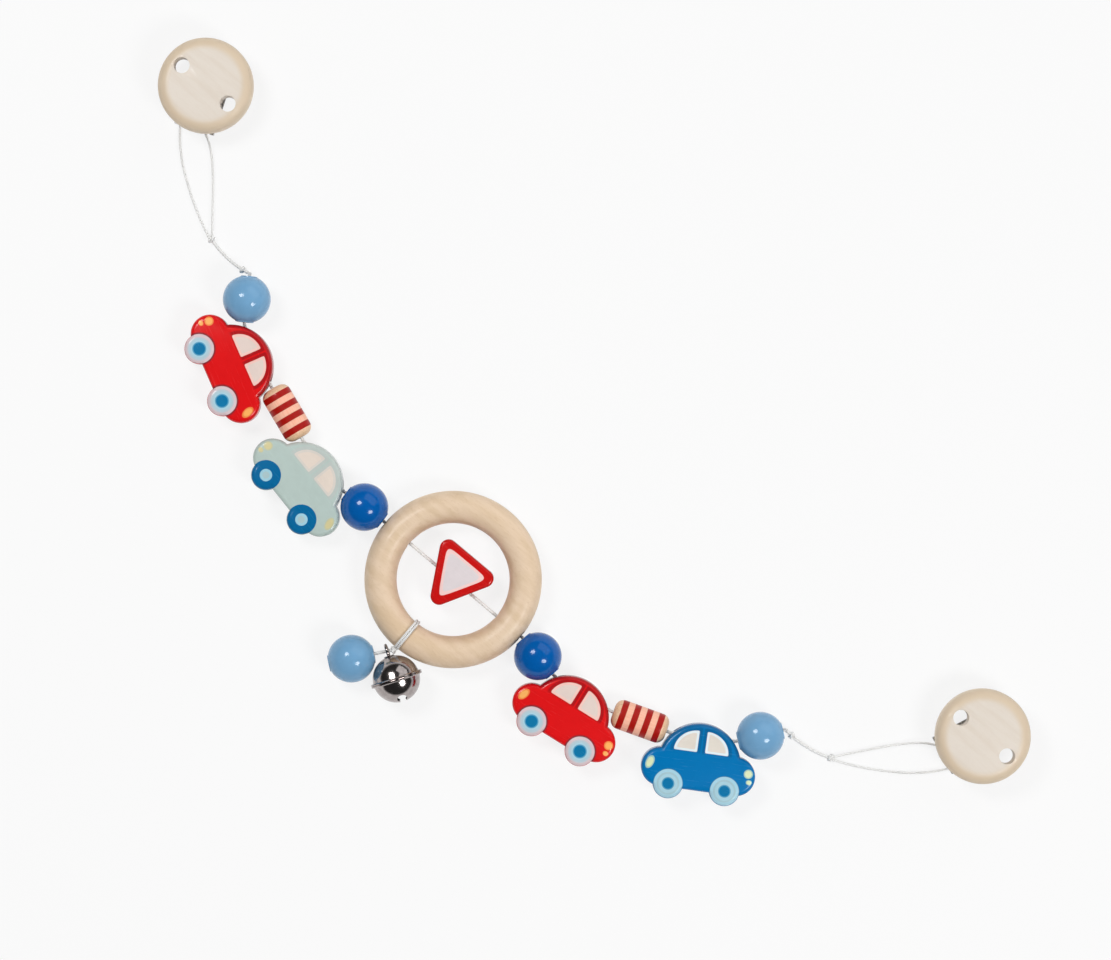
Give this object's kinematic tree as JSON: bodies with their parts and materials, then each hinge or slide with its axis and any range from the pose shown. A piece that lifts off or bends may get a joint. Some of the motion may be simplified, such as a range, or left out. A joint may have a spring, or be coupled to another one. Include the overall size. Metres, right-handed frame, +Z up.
{
  "type": "pram chain",
  "caption": "Pram chain: wooden cars, striped rollers and round beads on a cord either side of a grip ring with a triangle sign and a bell pendant, with a wooden clip at each end.",
  "frame": {"origin": "below the middle of the chain's outline, on the surface that it lies on", "axes": "+X along the chain from the left clip to the right clip, +Y towards the car roofs and the clips, +Z up, out of the face seen in the picture"},
  "size_m": [0.349, 0.1316, 0.0168],
  "materials": {
    "natural_wood": "smooth, clear oiled maple",
    "roller_wood": "smooth lacquered wood with red painted stripes",
    "clip_wood": "smooth pale wood",
    "red_paint": "gloss water-based lacquer on wood",
    "pale_paint": "gloss pale grey-green lacquer on wood",
    "blue_paint": "gloss blue lacquer on wood",
    "dark_blue_paint": "gloss dark blue lacquer on wood",
    "light_blue_paint": "gloss light blue lacquer on wood",
    "cord": "waxed white polyester cord",
    "clip_steel": "nickel-plated steel",
    "jaw_pad": "matt soft plastic",
    "nickel": "bright nickel plate"
  },
  "bodies": {
    "ring": {"ring": "natural_wood", "ring_cord": "cord"},
    "sign": {"sign": "red_paint"},
    "left_dark_bead_cord": {"left_dark_bead_cord": "cord"},
    "left_dark_bead": {"left_dark_bead": "dark_blue_paint"},
    "left_inner_car_cord": {"left_inner_car_cord": "cord"},
    "left_inner_car": {"left_inner_car": "pale_paint"},
    "left_roller_cord": {"left_roller_cord": "cord"},
    "left_roller": {"left_roller": "roller_wood"},
    "left_outer_car_cord": {"left_outer_car_cord": "cord"},
    "left_outer_car": {"left_outer_car": "red_paint"},
    "left_light_bead_cord": {"left_light_bead_cord": "cord"},
    "left_light_bead": {"left_light_bead": "light_blue_paint"},
    "left_end_cord": {"left_lead": "cord", "left_clip_loop": "cord"},
    "left_clip": {"left_clip_base": "clip_steel", "left_clip_jaw_pad": "jaw_pad", "left_clip_pin": "clip_steel"},
    "left_clip_front": {"left_clip_lever": "clip_steel", "left_clip_screws": "clip_steel", "left_clip_disc": "clip_wood"},
    "right_dark_bead_cord": {"right_dark_bead_cord": "cord"},
    "right_dark_bead": {"right_dark_bead": "dark_blue_paint"},
    "right_inner_car_cord": {"right_inner_car_cord": "cord"},
    "right_inner_car": {"right_inner_car": "red_paint"},
    "right_roller_cord": {"right_roller_cord": "cord"},
    "right_roller": {"right_roller": "roller_wood"},
    "right_outer_car_cord": {"right_outer_car_cord": "cord"},
    "right_outer_car": {"right_outer_car": "blue_paint"},
    "right_light_bead_cord": {"right_light_bead_cord": "cord"},
    "right_light_bead": {"right_light_bead": "light_blue_paint"},
    "right_end_cord": {"right_lead": "cord", "right_clip_loop": "cord"},
    "right_clip": {"right_clip_base": "clip_steel", "right_clip_jaw_pad": "jaw_pad", "right_clip_pin": "clip_steel"},
    "right_clip_front": {"right_clip_lever": "clip_steel", "right_clip_screws": "clip_steel", "right_clip_disc": "clip_wood"},
    "pendant": {"pendant_cord": "cord"},
    "pendant_bead": {"pendant_bead": "light_blue_paint"},
    "bell": {"bell_upper_shell": "nickel", "bell_lower_shell": "nickel", "bell_eye": "nickel"},
    "bell_pellet": {"bell_pellet": "nickel"}
  },
  "joints": [
    {"name": "sign_spin", "type": "hinge", "parent": "ring", "child": "sign", "pos_m": [0, -0.01852, 0.00617], "axis": [1, 0, 0], "continuous": true},
    {"name": "left_dark_bead_bend", "type": "hinge", "parent": "ring", "child": "left_dark_bead_cord", "pos_m": [-0.02825, -0.01852, 0.00617], "axis": [0, 0, -1], "range_deg": [-12, 14]},
    {"name": "left_dark_bead_spin", "type": "hinge", "parent": "left_dark_bead_cord", "child": "left_dark_bead", "pos_m": [-0.03609, -0.01893, 0.0076], "axis": [0.9986, 0.0523, 0], "continuous": true},
    {"name": "left_inner_car_bend", "type": "hinge", "parent": "left_dark_bead_cord", "child": "left_inner_car_cord", "pos_m": [-0.04428, -0.01936, 0.00617], "axis": [0, 0, -1], "range_deg": [-3, 18]},
    {"name": "left_inner_car_spin", "type": "hinge", "parent": "left_inner_car_cord", "child": "left_inner_car", "pos_m": [-0.05433, -0.01732, 0.005], "axis": [0.9799, -0.1994, 0], "range_deg": [-8, 45]},
    {"name": "left_roller_bend", "type": "hinge", "parent": "left_inner_car_cord", "child": "left_roller_cord", "pos_m": [-0.06467, -0.01521, 0.00617], "axis": [0, 0, -1], "range_deg": [-3, 18]},
    {"name": "left_roller_spin", "type": "hinge", "parent": "left_roller_cord", "child": "left_roller", "pos_m": [-0.07401, -0.01191, 0.00475], "axis": [0.9426, -0.3338, 0], "continuous": true},
    {"name": "left_outer_car_bend", "type": "hinge", "parent": "left_roller_cord", "child": "left_outer_car_cord", "pos_m": [-0.08334, -0.0086, 0.00617], "axis": [0, 0, -1], "range_deg": [-3, 16]},
    {"name": "left_outer_car_spin", "type": "hinge", "parent": "left_outer_car_cord", "child": "left_outer_car", "pos_m": [-0.09278, -0.0039, 0.005], "axis": [0.8949, -0.4462, 0], "range_deg": [-10, 45]},
    {"name": "left_light_bead_bend", "type": "hinge", "parent": "left_outer_car_cord", "child": "left_light_bead_cord", "pos_m": [-0.10196, 0.00068, 0.00617], "axis": [0, 0, -1], "range_deg": [-8, 8]},
    {"name": "left_light_bead_spin", "type": "hinge", "parent": "left_light_bead_cord", "child": "left_light_bead", "pos_m": [-0.10655, 0.00748, 0.0076], "axis": [0.5592, -0.829, 0], "continuous": true},
    {"name": "left_end_cord_swing", "type": "hinge", "parent": "left_light_bead_cord", "child": "left_end_cord", "pos_m": [-0.11113, 0.01428, 0.00617], "axis": [0, 0, -1], "range_deg": [-20, 6]},
    {"name": "left_clip_pitch", "type": "hinge", "parent": "left_end_cord", "child": "left_clip", "pos_m": [-0.15489, 0.03937, 0.0026], "axis": [0.9272, 0.3746, 0], "range_deg": [0, 40]},
    {"name": "left_clip_open", "type": "hinge", "parent": "left_clip", "child": "left_clip_front", "pos_m": [-0.16381, 0.06144, 0.0039], "axis": [-0.9272, -0.3746, 0], "range_deg": [0, 75]},
    {"name": "right_dark_bead_bend", "type": "hinge", "parent": "ring", "child": "right_dark_bead_cord", "pos_m": [0.02825, -0.01852, 0.00617], "axis": [0, 0, 1], "range_deg": [-10, 14]},
    {"name": "right_dark_bead_spin", "type": "hinge", "parent": "right_dark_bead_cord", "child": "right_dark_bead", "pos_m": [0.03598, -0.01989, 0.0076], "axis": [0.9848, -0.1736, 0], "continuous": true},
    {"name": "right_inner_car_bend", "type": "hinge", "parent": "right_dark_bead_cord", "child": "right_inner_car_cord", "pos_m": [0.04406, -0.02131, 0.00617], "axis": [0, 0, 1], "range_deg": [-4, 18]},
    {"name": "right_inner_car_spin", "type": "hinge", "parent": "right_inner_car_cord", "child": "right_inner_car", "pos_m": [0.05421, -0.01988, 0.005], "axis": [0.9903, 0.1392, 0], "range_deg": [-8, 45]},
    {"name": "right_roller_bend", "type": "hinge", "parent": "right_inner_car_cord", "child": "right_roller_cord", "pos_m": [0.06467, -0.01841, 0.00617], "axis": [0, 0, 1], "range_deg": [-4, 18]},
    {"name": "right_roller_spin", "type": "hinge", "parent": "right_roller_cord", "child": "right_roller", "pos_m": [0.07397, -0.01503, 0.00475], "axis": [0.9397, 0.342, 0], "continuous": true},
    {"name": "right_outer_car_bend", "type": "hinge", "parent": "right_roller_cord", "child": "right_outer_car_cord", "pos_m": [0.08327, -0.01164, 0.00617], "axis": [0, 0, 1], "range_deg": [-4, 16]},
    {"name": "right_outer_car_spin", "type": "hinge", "parent": "right_outer_car_cord", "child": "right_outer_car", "pos_m": [0.09222, -0.00605, 0.005], "axis": [0.848, 0.5299, 0], "range_deg": [-10, 45]},
    {"name": "right_light_bead_bend", "type": "hinge", "parent": "right_outer_car_cord", "child": "right_light_bead_cord", "pos_m": [0.10092, -0.00061, 0.00617], "axis": [0, 0, 1], "range_deg": [-6, 8]},
    {"name": "right_light_bead_spin", "type": "hinge", "parent": "right_light_bead_cord", "child": "right_light_bead", "pos_m": [0.10586, 0.00594, 0.0076], "axis": [0.6018, 0.7986, 0], "continuous": true},
    {"name": "right_end_cord_swing", "type": "hinge", "parent": "right_light_bead_cord", "child": "right_end_cord", "pos_m": [0.11079, 0.01248, 0.00617], "axis": [0, 0, 1], "range_deg": [-20, 6]},
    {"name": "right_clip_pitch", "type": "hinge", "parent": "right_end_cord", "child": "right_clip", "pos_m": [0.15489, 0.03937, 0.0026], "axis": [0.9272, -0.3746, 0], "range_deg": [0, 40]},
    {"name": "right_clip_open", "type": "hinge", "parent": "right_clip", "child": "right_clip_front", "pos_m": [0.16381, 0.06144, 0.0039], "axis": [-0.9272, 0.3746, 0], "range_deg": [0, 75]},
    {"name": "pendant_swing", "type": "hinge", "parent": "ring", "child": "pendant", "pos_m": [0, -0.04142, 0.0064], "axis": [-1, 0, 0], "range_deg": [0, 70]},
    {"name": "pendant_bead_spin", "type": "hinge", "parent": "pendant", "child": "pendant_bead", "pos_m": [-0.00856, -0.05818, 0.0076], "axis": [-0.6157, -0.788, 0], "continuous": true},
    {"name": "bell_swing", "type": "hinge", "parent": "pendant", "child": "bell", "pos_m": [-0.00142, -0.04904, 0.0076], "axis": [-0.6157, -0.788, 0], "range_deg": [0, 40]},
    {"name": "pellet_rattle", "type": "slide", "parent": "bell", "child": "bell_pellet", "axis": [0, 0, 1], "range_m": [0, 0.0095]}
  ]
}
